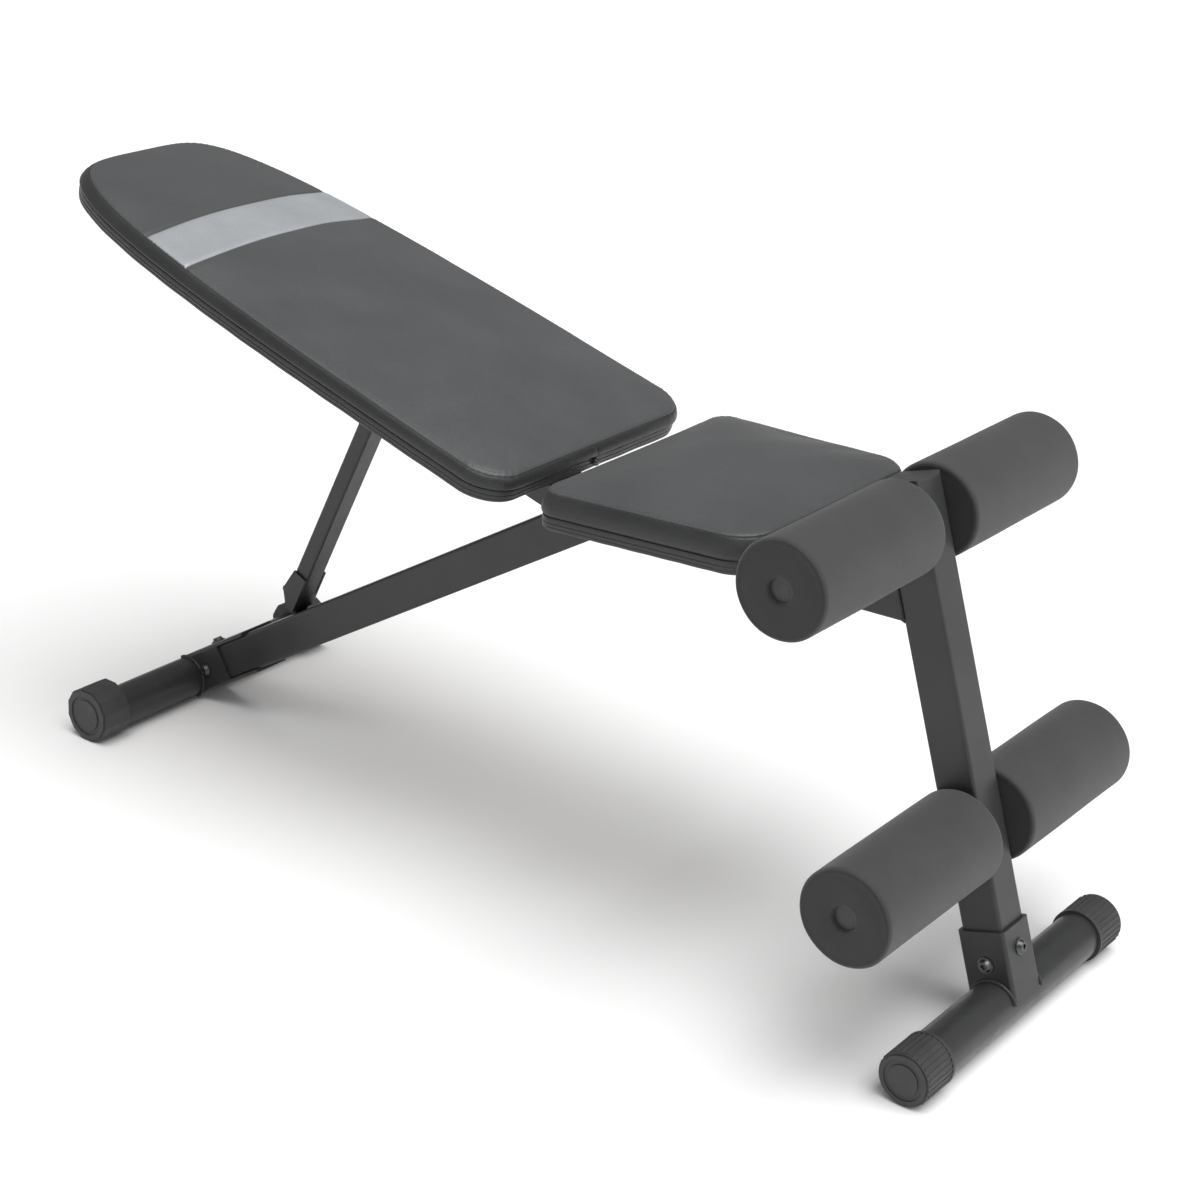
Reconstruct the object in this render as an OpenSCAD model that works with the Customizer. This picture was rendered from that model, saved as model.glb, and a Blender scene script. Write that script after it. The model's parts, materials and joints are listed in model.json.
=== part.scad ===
// Decline sit up bench: two round foot tubes, a leaning post with two pairs of
// foam rollers, a level seat and a long backrest held up by a swinging strut.
// +X is the roller end, +Z is up, and Y = 0 is the middle plane.

/* [Feet] */
// Height of the front foot tube's axis above the floor
front_foot_z = 28.2; // [27.5:0.1:29]
// Distance of the front foot tube's axis in front of the origin
front_foot_x = 608; // [603:0.5:612]
// Distance of the rear foot tube's axis behind the origin
rear_foot_x = 517; // [513:0.5:522]
// Outer diameter of both foot tubes
foot_d = 50; // [49:0.5:50]
// Width of the front foot over its end caps
front_foot_w = 400; // [380:5:460]
// Width of the rear foot over its end caps
rear_foot_w = 392; // [380:2:460]

/* [Frame] */
// Side of the square tubes
tube = 45; // [44:0.5:45]
// Corner radius of the square tubes
tube_corner = 4; // [3:0.5:6]
// Wall of the steel tubes
wall = 2; // [1.5:0.1:2.5]
// Lean of the post away from the vertical, in degrees
post_lean = 17.6; // [16.6:0.1:18.6]
// Length of the post from the front foot tube's axis to its top
post_l = 530; // [526:1:540]
// Rise of the main tube from the rear foot, in degrees
main_rise = 32; // [31.6:0.1:32.4]
// Rise of the seat beam towards the post, in degrees
seat_rise = 2.3; // [2:0.1:2.6]
// Height of the seat beam's centre line at the post, along the post from the foot axis
beam_on_post = 410.5; // [408:0.5:413]

/* [Rollers] */
// Outer diameter of the foam rollers
roller_d = 100; // [80:2:104]
// Length of one foam roller
roller_l = 214; // [180:2:230]
// Distance of a roller's inner end from the middle plane
roller_gap = 29; // [28:0.5:34]
// Outer diameter of the roller axles
axle_d = 25; // [24:1:28]
// Places of the lower and upper axles along the post from the foot axis
axle_on_post = [178, 491]; // [170:1:500]

/* [Seat] */
// Length of the seat cushion
seat_l = 262; // [256:2:264]
// Width of the seat cushion at the backrest end
seat_w = 335; // [310:1:340]
// Width of the seat cushion at the roller end
seat_front_w = 313; // [290:1:320]
// Thickness of the seat cushion above its board
seat_pad_h = 38; // [34:1:42]

/* [Backrest] */
// Rise of the backrest towards its head end, in degrees
back_rise = 15.6; // [15.4:0.1:16]
// Length of the backrest cushion
back_l = 734; // [724:2:740]
// Width of the backrest cushion at the seat end
back_w = 351; // [330:1:356]
// Thickness of the backrest cushion above its board
back_pad_h = 30; // [26:1:32]

/* [Strut] */
// Width of the strut tube across the bench
strut_w = 30; // [26:1:30]
// Depth of the strut tube along the bench
strut_d = 20; // [18:1:20]
// Distance of the strut's pivot from the backrest hinge, along the backrest
strut_at = 318.5; // [317:0.5:320]

/* [Hidden] */
$fn = 64;
steel = "#4a4b4e";
plastic = "#3a3b3d";
foam = "#55575a";
vinyl = "#6a6c70";
wood = "#8a6a48";
zinc = "#a8abb0";

board_h = 13;         // plywood board under each cushion
bar_h = 15;           // steel bars between the tubes and the boards
bar_l = 30;
bar_w = 200;
bar_t = 2.5;
plate = 3;            // wall of the folded brackets
fit = 0.05;           // radial running clearance of turning parts
gap = 0.6;            // clearance between parts of different bodies
foot_r = foot_d / 2;
rear_foot_z = foot_r + 0.5;
axle_r = axle_d / 2;
half = tube / 2;
socket_out = tube + 1 + 2 * plate;

// The seat beam and the main tube meet where their centre lines cross.
beam_end = [front_foot_x - beam_on_post * sin(post_lean), front_foot_z + beam_on_post * cos(post_lean)];
cross_l = (beam_end[0] + rear_foot_x) * tan(main_rise) + rear_foot_z - beam_end[1];
beam_l = cross_l / (tan(main_rise) - tan(seat_rise)) / cos(seat_rise);
corner = [beam_end[0] - beam_l * cos(seat_rise), beam_end[1] - beam_l * sin(seat_rise)];
main_l = (corner[0] + rear_foot_x) / cos(main_rise);

// The backrest hinge sits just under the corner, and the cushions are placed from it.
hinge = [corner[0] - 2, corner[1] - 8];
hinge_d = 10;
back_tube_n = 6;      // centre line of the backrest tube above the hinge, square to it
back_low = back_tube_n - half;
back_n = back_tube_n + half + bar_h; // underside of the backrest board
back_foot = 31;       // seat end of the backrest from the hinge, along the backrest
back_tube_w = tube + 2 * gap;
back_tube_from = 66;
back_tube_to = 610;
hinge_plate_t = 5;
hinge_plate_r = 13.5;
hinge_plate_l = 150;

seat_front = 106;     // front end of the seat behind the post's centre line, along the beam

strut_n = -30.5;       // strut pivot below the hinge, square to the backrest
strut_lean = 65.5;     // rise of the strut
strut_l = 325;         // pivot to the toe
strut_bolt_d = 8;
cheek_l = 46;
toe_t = 5;
toe_w = 20;
toe_front = strut_d / 2 - toe_t / 2; // middle of the toe in front of the strut's centre line

// Each slot is where the toe lands when the backrest is lifted by one more step.
slot_w = toe_w + 6;
slot_ahead = 5.5;
slot_behind = 12.5;
slot_steps = [0, 7, 14, 21];
hinge_on_main = [
    (hinge[0] + rear_foot_x) * cos(main_rise) + (hinge[1] - rear_foot_z) * sin(main_rise),
    (hinge[1] - rear_foot_z) * cos(main_rise) - (hinge[0] + rear_foot_x) * sin(main_rise)
];
pivot_arm = norm([strut_at, strut_n]);
toe_reach = norm([strut_l, toe_front]);
pivot_turn = 180 - main_rise - back_rise - atan2(strut_n, strut_at);
function pivot_at(step) = [
    hinge_on_main[0] + pivot_arm * cos(pivot_turn - step),
    hinge_on_main[1] + pivot_arm * sin(pivot_turn - step)
];
slot_places = [
    for (step = slot_steps)
        let (p = pivot_at(step)) p[0] - sqrt(pow(toe_reach, 2) - pow(p[1] - half, 2))
];

// Bolts: heights up the post for the front socket's two, distances up the main tube for the
// rear socket's two, and distances along each cushion for the board bolts.
front_side_bolt = 42;
front_face_bolt = 53;
rear_side_bolt = 34.5;
rear_top_bolt = 46;
seat_bolt_places = [60, 202];
back_bolt_places = [180, 520];
face_bolt_d = 5;
face_head_r = 4;
face_bolt_n = 8.8;       // height of the round-headed bolt above the board's underside

board_in = 5;          // how far the boards stand in from the cushions' outlines
seat_r0 = 27;          // plan corners at the backrest end and at the roller end
seat_r1 = 47;
back_r = 46;
back_mid = 202;        // middle of the backrest's oval outline, beyond its seat end
back_power = 4.3;      // how square that oval is

cap_wall = 3.4;
front_cap_l = 50;
rear_cap_l = 40;
rear_cap_r = 32.4;    // from the centre of the twelve-sided cap to a flat
rear_cap_up = rear_cap_r - rear_foot_z;

// ---------- local frames ----------

// Z runs up the post and X points forward, from the front foot tube's axis.
module on_post() {
    translate([front_foot_x, 0, front_foot_z]) rotate([0, -post_lean, 0]) children();
}

// X runs up the main tube from the rear foot tube's axis, Z points square to it.
module on_main() {
    translate([-rear_foot_x, 0, rear_foot_z]) rotate([0, -main_rise, 0]) children();
}

// X runs along the seat beam towards the post and ends on the post's centre line.
module on_beam() {
    translate([beam_end[0], 0, beam_end[1]]) rotate([0, -seat_rise, 0]) children();
}

// X runs down the backrest to the hinge, and Z points square out of the cushion.
module on_back() {
    translate([hinge[0], 0, hinge[1]]) rotate([0, back_rise, 0]) children();
}

// Z runs up the strut to its pivot, and X points to its front face.
module on_strut() {
    on_back() translate([-strut_at, 0, strut_n]) rotate([0, 90 - back_rise - strut_lean, 0]) children();
}

// ---------- shared shapes ----------

module rounded_rect(w, h, r) {
    square([w - 2 * r, h], center = true);
    square([w, h - 2 * r], center = true);
    for (x = [-1, 1], y = [-1, 1])
        translate([x * (w / 2 - r), y * (h / 2 - r)]) circle(r = r);
}

// A rectangular tube from the origin up Z, w along X and h along Y.
module box_tube(w, h, length, r = tube_corner, t = wall) {
    linear_extrude(length) difference() {
        rounded_rect(w, h, r);
        rounded_rect(w - 2 * t, h - 2 * t, r - t);
    }
}

module solid_box(w, h, length, r = tube_corner) {
    linear_extrude(length) rounded_rect(w, h, r);
}

// A cylinder along Y from y0 to y1.
module rod(r, y0, y1) {
    translate([0, y0, 0]) rotate([-90, 0, 0]) cylinder(r = r, h = y1 - y0);
}

// A flat shape in X and Z, thick along Y from y0 to y1.
module slab(y0, y1) {
    translate([0, y1, 0]) rotate([90, 0, 0]) linear_extrude(y1 - y0) children();
}

// A round-headed bolt with a washer and hexagon recess, its head out along Z from z = 0.
module bolt_head(shank_l, shank_d = 8) {
    difference() {
        union() {
            cylinder(r = 8.5, h = 1.5);
            translate([0, 0, 1.5]) cylinder(r1 = 7, r2 = 5, h = 4);
            translate([0, 0, -shank_l]) cylinder(d = shank_d, h = shank_l + 1);
        }
        translate([0, 0, 3]) cylinder(r = 2.9, h = 4, $fn = 6);
    }
}

// A long bolt along Y through both sides, with a head at -y and a nut at +y.
module cross_bolt(d, y) {
    rod(d / 2, -y, y + 7);
    rod(d * 0.95, -y - 5, -y);
    rotate([-90, 0, 0]) translate([0, 0, y + 0.1]) cylinder(r = d * 0.95, h = 6, $fn = 6);
}

// ---------- front foot ----------

module front_foot_tube() {
    y = front_foot_w / 2 - cap_wall;
    color(steel) translate([front_foot_x, 0, front_foot_z]) difference() {
        rod(foot_r, -y, y);
        rod(foot_r - wall, -y - 1, y + 1);
    }
}

// A round ribbed end cap over the end of the front foot tube, open towards the middle.
module front_cap(side) {
    y_in = front_foot_w / 2 - front_cap_l;
    y_out = front_foot_w / 2;
    ribs = 30;
    rib_r = 1;
    color(plastic) translate([front_foot_x, 0, front_foot_z]) mirror([0, side < 0 ? 1 : 0, 0]) {
        difference() {
            union() {
                rod(front_foot_z - rib_r, y_in, y_out - 2);
                rod(front_foot_z - rib_r - 2, y_out - 3, y_out);
                rod(front_foot_z, y_in, y_in + 4);
                for (i = [0 : ribs - 1])
                    rotate([0, i * 360 / ribs, 0]) translate([0, 0, -front_foot_z + rib_r])
                        rod(rib_r, y_in + 2, y_out - 4);
            }
            rod(foot_r, y_in - 1, y_out - cap_wall);
            difference() {
                rod(foot_r - 4, y_out - 1.2, y_out + 1);
                rod(foot_r - 9, y_out - 2, y_out + 2);
            }
        }
    }
}

// The square socket on the front foot tube that takes the post.
module front_socket() {
    color(steel) difference() {
        on_post() difference() {
            solid_box(socket_out, socket_out, 76.5);
            translate([0, 0, -1]) solid_box(tube + 1, tube + 1, 90);
            translate([0, 0, front_side_bolt]) rod(4, -40, 0);
            translate([0, 0, front_face_bolt]) rotate([0, 90, 0]) cylinder(d = 8, h = 40);
        }
        translate([front_foot_x, 0, front_foot_z]) rod(foot_r, -60, 60);
    }
}

module front_socket_bolts() {
    out = socket_out / 2;
    color(zinc) on_post() {
        translate([0, -out, front_side_bolt]) rotate([90, 0, 0]) bolt_head(out - half + 14);
        translate([out, 0, front_face_bolt]) rotate([0, 90, 0]) bolt_head(out - half + 14);
    }
}

// ---------- post and rollers ----------

module post() {
    from = foot_r + 1;
    color(steel) on_post() difference() {
        translate([0, 0, from]) box_tube(tube, tube, post_l - from);
        for (z = axle_on_post)
            translate([0, 0, z]) rod(axle_r, -half - 1, half + 1);
        translate([0, 0, front_side_bolt]) rod(4, -40, 0);
        translate([0, 0, front_face_bolt]) rotate([0, 90, 0]) cylinder(d = 8, h = 40);
    }
}

module post_cap() {
    color(plastic) on_post() translate([0, 0, post_l]) {
        solid_box(tube, tube, 4);
        translate([0, 0, -14]) box_tube(tube - 2 * wall, tube - 2 * wall, 14, r = 2.5, t = 2);
    }
}

module axle(z) {
    y = roller_gap + roller_l - 8;
    color(zinc) on_post() translate([0, 0, z]) difference() {
        rod(axle_r, -y, y);
        rod(axle_r - wall, -y - 1, y + 1);
    }
}

module upper_axle() {
    axle(axle_on_post[1]);
}

module lower_axle() {
    axle(axle_on_post[0]);
}

// Plugs in both ends of both axles, one solid each.
module axle_plugs() {
    y = roller_gap + roller_l - 8;
    color(plastic) on_post() for (z = axle_on_post, side = [0, 1])
        translate([0, 0, z]) mirror([0, side, 0]) {
            rod(axle_r - wall, y - 16, y);
            rod(axle_r, y, y + 3);
        }
}

// A foam roller that turns on its axle, with rounded rims. The axle's plug sits inside its bore.
module roller(z, side) {
    edge = 6;
    bore_r = axle_r + fit;
    foam_t = roller_d / 2 - bore_r;
    color(foam) on_post() translate([0, 0, z]) mirror([0, side < 0 ? 1 : 0, 0])
        translate([0, roller_gap, 0]) rotate([-90, 0, 0]) rotate_extrude() {
            translate([bore_r, 0]) square([foam_t - edge, roller_l]);
            translate([bore_r, edge]) square([foam_t, roller_l - 2 * edge]);
            for (y = [edge, roller_l - edge])
                translate([roller_d / 2 - edge, y]) circle(r = edge);
        }
}

module roller_upper_left() {
    roller(axle_on_post[1], 1);
}

module roller_upper_right() {
    roller(axle_on_post[1], -1);
}

module roller_lower_left() {
    roller(axle_on_post[0], 1);
}

module roller_lower_right() {
    roller(axle_on_post[0], -1);
}

// ---------- main frame ----------

// The seat beam runs from the post's rear face to the main tube and is mitred there.
module seat_beam() {
    color(steel) difference() {
        on_beam() translate([-beam_l - tube, 0, 0]) rotate([0, 90, 0])
            box_tube(tube, tube, beam_l + tube);
        on_post() translate([-half, -50, 300]) cube([100, 100, 240]);
        mitre(behind = true);
        seat_bolt_holes();
        translate([hinge[0], 0, hinge[1]]) rod(hinge_d / 2, -half - 1, half + 1);
    }
}

// The half space on one side of the mitre where the beam and the main tube join.
module mitre(behind) {
    bisector = 90 - (main_rise + seat_rise) / 2;
    translate([corner[0], 0, corner[1]]) rotate([0, bisector, 0])
        translate([-200, -50, behind ? -200 : 0]) cube([400, 100, 200]);
}

// The main tube rises from the rear foot, with a row of slots in its top for the strut's toe.
module main_tube() {
    from = foot_r + 1;
    color(steel) difference() {
        on_main() translate([from, 0, 0]) rotate([0, 90, 0])
            box_tube(tube, tube, main_l - from + tube);
        mitre(behind = false);
        on_main() for (x = slot_places)
            translate([x - slot_behind, -slot_w / 2, half - wall - 1])
                cube([slot_behind + slot_ahead, slot_w, wall + 2]);
        on_main() translate([rear_top_bolt, 0, 0]) cylinder(d = 8, h = 40);
        on_main() translate([rear_side_bolt, 0, 0]) rod(4, -40, 0);
        translate([hinge[0], 0, hinge[1]]) rod(hinge_d / 2, -half - 1, half + 1);
    }
}

// Side plates reach a short way up the main tube, the top and bottom plates farther.
module rear_socket() {
    color(steel) difference() {
        on_main() difference() {
            rotate([0, 90, 0]) solid_box(socket_out, socket_out, 120);
            translate([-1, 0, 0]) rotate([0, 90, 0]) solid_box(tube + 1, tube + 1, 130);
            for (side = [-1, 1])
                translate([69, side * half - 12, -half + 1]) cube([60, 24, tube - 2]);
            translate([rear_top_bolt, 0, 0]) cylinder(d = 8, h = 40);
            translate([rear_side_bolt, 0, 0]) rod(4, -40, 0);
        }
        translate([-rear_foot_x, 0, rear_foot_z]) rod(foot_r, -60, 60);
    }
}

module rear_socket_bolts() {
    out = socket_out / 2;
    color(zinc) on_main() {
        translate([rear_side_bolt, -out, 0]) rotate([90, 0, 0]) bolt_head(out - half + 14);
        translate([rear_top_bolt, 0, out]) bolt_head(out - half + 14);
    }
}

module rear_foot_tube() {
    y = rear_foot_w / 2 - cap_wall - gap;
    color(steel) translate([-rear_foot_x, 0, rear_foot_z]) difference() {
        rod(foot_r, -y, y);
        rod(foot_r - wall, -y - 1, y + 1);
    }
}

// A twelve-sided cap whose bore is off centre, so that turning it levels the bench.
module rear_cap(side) {
    y_in = rear_foot_w / 2 - rear_cap_l;
    y_out = rear_foot_w / 2;
    tip_r = rear_cap_r / cos(15);
    color(plastic) translate([-rear_foot_x, 0, rear_foot_z]) mirror([0, side < 0 ? 1 : 0, 0])
        difference() {
            translate([0, y_in, rear_cap_up]) rotate([-90, 15, 0]) {
                cylinder(r = tip_r, h = rear_cap_l - 2, $fn = 12);
                cylinder(r = tip_r - 2.5, h = rear_cap_l, $fn = 12);
            }
            rod(foot_r + fit, y_in - 1, y_out - cap_wall);
            translate([0, 0, rear_cap_up]) difference() {
                rod(rear_cap_r - 8, y_out - 1.2, y_out + 1);
                rod(rear_cap_r - 13, y_out - 2, y_out + 2);
            }
        }
}

// ---------- seat ----------

// X runs along the seat beam, from the seat's rear edge, on top of the beam.
module on_seat() {
    on_beam() translate([-seat_front - seat_l, 0, half]) children();
}

// A channel across the bench, open towards the tube under it and bored for its bolt.
module cross_bar() {
    difference() {
        translate([-bar_l / 2, -bar_w / 2, 0]) cube([bar_l, bar_w, bar_h]);
        translate([-bar_l / 2 + bar_t, -bar_w / 2 - 1, -1]) cube([bar_l - 2 * bar_t, bar_w + 2, bar_h - bar_t + 1]);
        cylinder(d = 8, h = bar_h + 1);
    }
}

module seat_bar(x) {
    color(steel) on_seat() translate([x, 0, 0]) cross_bar();
}

// A plan outline with rounded corners of radius r0 and r1, from x = 0 to x = length, tapering along X.
module pad_plan(length, w0, w1, r0, r1) {
    intersection() {
        polygon([[0, -w0 / 2], [length, -w1 / 2], [length, w1 / 2], [0, w0 / 2]]);
        union() {
            translate([r0, -w0]) square([length - r0 - r1, 2 * w0]);
            for (x = [0, 1]) {
                w = x == 0 ? w0 : w1;
                r = x == 0 ? r0 : r1;
                translate([x == 0 ? 0 : length - r, -w / 2 + r]) square([r, w - 2 * r]);
                for (y = [-1, 1])
                    translate([x == 0 ? r : length - r, y * (w / 2 - r)]) circle(r = r);
            }
        }
    }
}

module seat_board() {
    color(wood) on_seat() translate([0, 0, bar_h]) difference() {
        linear_extrude(board_h) translate([board_in, 0])
            pad_plan(seat_l - 2 * board_in, seat_w - 2 * board_in, seat_front_w - 2 * board_in,
                     seat_r0 - board_in, seat_r1 - board_in);
        for (x = seat_bolt_places)
            translate([x, 0, -1]) cylinder(d = 8, h = board_h - 3);
    }
}

// The cushion is highest in the middle and falls to its ends along an arc.
module crowned(length, w, h, edge_h) {
    drop = h - edge_h;
    arc_r = (pow(length / 2, 2) + drop * drop) / (2 * drop);
    intersection() {
        children();
        translate([length / 2, -w, h - arc_r]) rotate([-90, 0, 0]) cylinder(r = arc_r, h = 2 * w, $fn = 720);
    }
}

module seat_pad() {
    color(vinyl) on_seat() translate([0, 0, bar_h + board_h])
        crowned(seat_l, seat_w, seat_pad_h, seat_pad_h - 12)
            linear_extrude(seat_pad_h + 2) pad_plan(seat_l, seat_w, seat_front_w, seat_r0, seat_r1);
}

module seat_bolt_holes() {
    on_seat() for (x = seat_bolt_places)
        translate([x, 0, -tube - 1]) cylinder(d = 8, h = tube + 2);
}

// Two bolts that go up through the beam into the seat board, one solid each.
module seat_bolts() {
    color(zinc) on_seat() for (x = seat_bolt_places)
        translate([x, 0, -tube]) rotate([180, 0, 0]) bolt_head(tube + bar_h + board_h - 6);
}

// ---------- backrest ----------

// The hinge bolt goes across through the corner of the frame and both hinge plates.
module hinge_bolt() {
    color(zinc) translate([hinge[0], 0, hinge[1]]) cross_bolt(hinge_d, half + gap + hinge_plate_t + 0.3);
}

// A flat plate from the hinge along the side of the backrest tube.
module hinge_plate(side) {
    y = half + gap;
    color(steel) on_back() mirror([0, side < 0 ? 1 : 0, 0]) difference() {
        slab(y, y + hinge_plate_t) {
            circle(r = hinge_plate_r);
            translate([-hinge_plate_l, -hinge_plate_r]) square([hinge_plate_l, 2 * hinge_plate_r]);
        }
        rod(hinge_d / 2 + fit, 0, y + 20);
    }
}

module hinge_plate_left() {
    hinge_plate(1);
}

module hinge_plate_right() {
    hinge_plate(-1);
}

module back_tube() {
    color(steel) on_back() translate([-back_tube_to, 0, back_tube_n]) difference() {
        rotate([0, 90, 0]) box_tube(tube, back_tube_w, back_tube_to - back_tube_from);
        for (x = back_bolt_places)
            translate([back_tube_to - x, 0, -50]) cylinder(d = 8, h = 100);
    }
}

// X runs from the seat end of the backrest towards its head, on the underside of the board.
module on_back_pad() {
    on_back() translate([-back_foot, 0, back_n]) mirror([1, 0, 0]) children();
}

// A superellipse whose middle lies beyond the seat end, so that it narrows all the way to its head.
module back_outline(inset) {
    reach = back_l - inset + back_mid;
    polygon([
        for (side = [-1, 1], a = side < 0 ? [0 : 3 : 90] : [87 : -3 : 0])
            [reach * pow(sin(a), 2 / back_power) - back_mid, side * (back_w / 2 - inset) * pow(cos(a), 2 / back_power)]
    ]);
}

// The backrest outline: rounded corners at the seat end, half an oval at the head.
module back_plan(inset = 0) {
    r = back_r - inset;
    w = back_w / 2 - inset;
    intersection() {
        back_outline(inset);
        union() {
            translate([inset + r, -back_w]) square([back_l, 2 * back_w]);
            translate([inset, -w + r]) square([r, 2 * (w - r)]);
            for (y = [-1, 1])
                translate([inset + r, y * (w - r)]) circle(r = r);
        }
    }
}

module back_bar(x) {
    color(steel) on_back() translate([-x, 0, back_low + tube]) cross_bar();
}

module back_board() {
    color(wood) on_back_pad() difference() {
        linear_extrude(board_h) back_plan(inset = board_in);
        for (x = back_bolt_places)
            translate([x - back_foot, 0, -1]) cylinder(d = 8, h = board_h - 3);
        translate([0, 0, face_bolt_n]) rotate([0, 90, 0]) cylinder(d = face_bolt_d, h = 30);
    }
}

module back_pad() {
    color(vinyl) on_back_pad() translate([0, 0, board_h])
        crowned(back_l, back_w, back_pad_h, back_pad_h - 18)
            linear_extrude(back_pad_h + 2) back_plan();
}

// Two bolts that go up through the backrest tube into its board, one solid each.
module back_bolts() {
    color(zinc) on_back() for (x = back_bolt_places)
        translate([-x, 0, back_low]) rotate([180, 0, 0]) bolt_head(tube + bar_h + board_h - 6);
}

// A round-headed bolt in the middle of the backrest's seat end.
module back_face_bolt() {
    color(zinc) on_back_pad() translate([5, 0, face_bolt_n]) rotate([0, -90, 0]) {
        cylinder(r = face_head_r, h = 7);
        translate([0, 0, 7]) cylinder(r1 = face_head_r, r2 = face_head_r - 1.5, h = 2);
        translate([0, 0, -24]) cylinder(d = face_bolt_d, h = 25);
    }
}

// ---------- strut ----------

// Ears welded under the backrest tube carry the strut's pivot bolt.
module strut_ear(side) {
    y = strut_w / 2 + gap;
    color(steel) on_back() mirror([0, side < 0 ? 1 : 0, 0]) difference() {
        slab(y, y + 4) {
            translate([-strut_at, strut_n]) circle(r = 12);
            polygon([
                [-strut_at - 12, strut_n], [-strut_at + 12, strut_n],
                [-strut_at + 22, back_low], [-strut_at - 22, back_low]
            ]);
        }
        translate([-strut_at, 0, strut_n]) rod(strut_bolt_d / 2, 0, 40);
    }
}

module strut_ear_left() {
    strut_ear(1);
}

module strut_ear_right() {
    strut_ear(-1);
}

module strut_bolt() {
    color(zinc) on_strut() cross_bolt(strut_bolt_d, strut_w / 2 + gap + 4.3);
}

module strut_tube() {
    color(steel) on_strut() difference() {
        translate([0, 0, -strut_l + 28]) box_tube(strut_d, strut_w, strut_l - 28 + 8, r = 3);
        rod(strut_bolt_d / 2 + fit, -40, 40);
    }
}

// The folded foot of the strut: two cheeks, a front web and a toe that drops into a slot.
module strut_foot() {
    x0 = strut_d / 2;
    cheek = strut_w / 2;
    color(steel) on_strut() translate([0, 0, -strut_l]) {
        for (side = [0, 1])
            mirror([0, side, 0]) slab(cheek, cheek + plate) {
                polygon([[x0, cheek_l + 12], [-x0, cheek_l + 12], [-15, 27], [-1, 6.5], [x0, 6.5]]);
                translate([-x0 - 0.5, 28]) circle(r = 5);
            }
        translate([x0 - toe_t, -cheek - 1, 6.5]) cube([toe_t, 2 * cheek + 2, 21]);
        translate([x0 - toe_t, -toe_w / 2, -6]) cube([toe_t, toe_w, 13]);
    }
}

front_foot_tube();
front_cap(1);  // front_cap_left
front_cap(-1);  // front_cap_right
front_socket();
front_socket_bolts();
post();
post_cap();
upper_axle();
lower_axle();
axle_plugs();
roller_upper_left();
roller_upper_right();
roller_lower_left();
roller_lower_right();
seat_beam();
seat_bar(seat_bolt_places[0]);  // seat_bar_rear
seat_bar(seat_bolt_places[1]);  // seat_bar_front
seat_board();
seat_pad();
seat_bolts();
main_tube();
rear_socket();
rear_socket_bolts();
rear_foot_tube();
rear_cap(1);  // rear_cap_left
rear_cap(-1);  // rear_cap_right
hinge_bolt();
back_tube();
hinge_plate_left();
hinge_plate_right();
back_bar(back_bolt_places[0]);  // back_bar_lower
back_bar(back_bolt_places[1]);  // back_bar_upper
back_board();
back_pad();
back_bolts();
back_face_bolt();
strut_ear_left();
strut_ear_right();
strut_bolt();
strut_tube();
strut_foot();
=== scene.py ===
"""Looks for the decline sit up bench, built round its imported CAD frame. Lengths are in metres."""

import json
from math import cos, pi, radians, sin, tau

import bmesh
import bpy
import numpy as np
from mathutils import Matrix, Vector
from mathutils.bvhtree import BVHTree
from mathutils.kdtree import KDTree


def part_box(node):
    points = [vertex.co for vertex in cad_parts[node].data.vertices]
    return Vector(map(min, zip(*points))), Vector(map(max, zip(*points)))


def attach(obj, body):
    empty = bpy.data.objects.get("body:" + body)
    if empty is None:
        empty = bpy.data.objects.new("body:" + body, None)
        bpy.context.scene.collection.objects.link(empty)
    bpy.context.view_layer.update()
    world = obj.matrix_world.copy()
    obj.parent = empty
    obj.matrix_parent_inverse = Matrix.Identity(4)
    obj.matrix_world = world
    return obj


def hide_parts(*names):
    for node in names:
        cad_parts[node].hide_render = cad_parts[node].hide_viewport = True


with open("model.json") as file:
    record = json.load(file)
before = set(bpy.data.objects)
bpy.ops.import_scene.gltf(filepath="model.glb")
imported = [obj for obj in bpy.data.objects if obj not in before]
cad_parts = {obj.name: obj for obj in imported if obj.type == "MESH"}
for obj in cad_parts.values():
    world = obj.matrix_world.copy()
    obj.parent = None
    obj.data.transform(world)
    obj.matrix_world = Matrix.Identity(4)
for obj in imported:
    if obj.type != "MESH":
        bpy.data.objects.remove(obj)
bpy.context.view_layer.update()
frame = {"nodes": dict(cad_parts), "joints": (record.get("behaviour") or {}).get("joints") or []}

MM = 0.001
UP = np.array([0.0, 0.0, 1.0])

# ---------- driving values, as the CAD model has them ----------

BACK_RISE = radians(15.6)
SEAT_RISE = radians(2.3)
MAIN_RISE = radians(32)
POST_LEAN = radians(17.6)
BACK_R = 46 * MM              # plan corners of the backrest's seat end
BACK_MID = 202 * MM           # middle of the backrest's oval outline, beyond its seat end
BACK_POWER = 4.3              # how square that oval is
SEAT_FRONT_W = 313 * MM       # the seat's width at the roller end
SEAT_CORNERS = (27 * MM, 47 * MM)
BOARD_H = 13 * MM             # plywood under each cushion
GROOVE_H = 14.4 * MM          # top of the wrapped board edge, where the cushion's wall starts
GROOVE_IN = 2.0 * MM          # how far the groove stands in from the CAD outline
RING_PITCH = 3.1 * MM         # rough distance between the points round a cushion
WRAP_UNDER = -1.5 * MM        # underside of the vinyl turned in under a board
PUFF = 4.5 * MM               # the most that a cushion's cover swells
STITCH_PITCH = 3.6 * MM
STITCH_L = 2.7 * MM
THREAD_R = 0.28 * MM
BAND_FROM = 480 * MM          # the silver band, from the backrest's seat end
BAND_TO = 553 * MM
TUBE = 45 * MM
AXLE_BORE_R = 12.6 * MM       # hole through a foam roller
ROLLER_RIM = 5.5 * MM         # rounding of a foam roller's rims
joints = {joint["name"]: joint for joint in frame["joints"]}


# ---------- camera ----------

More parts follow.
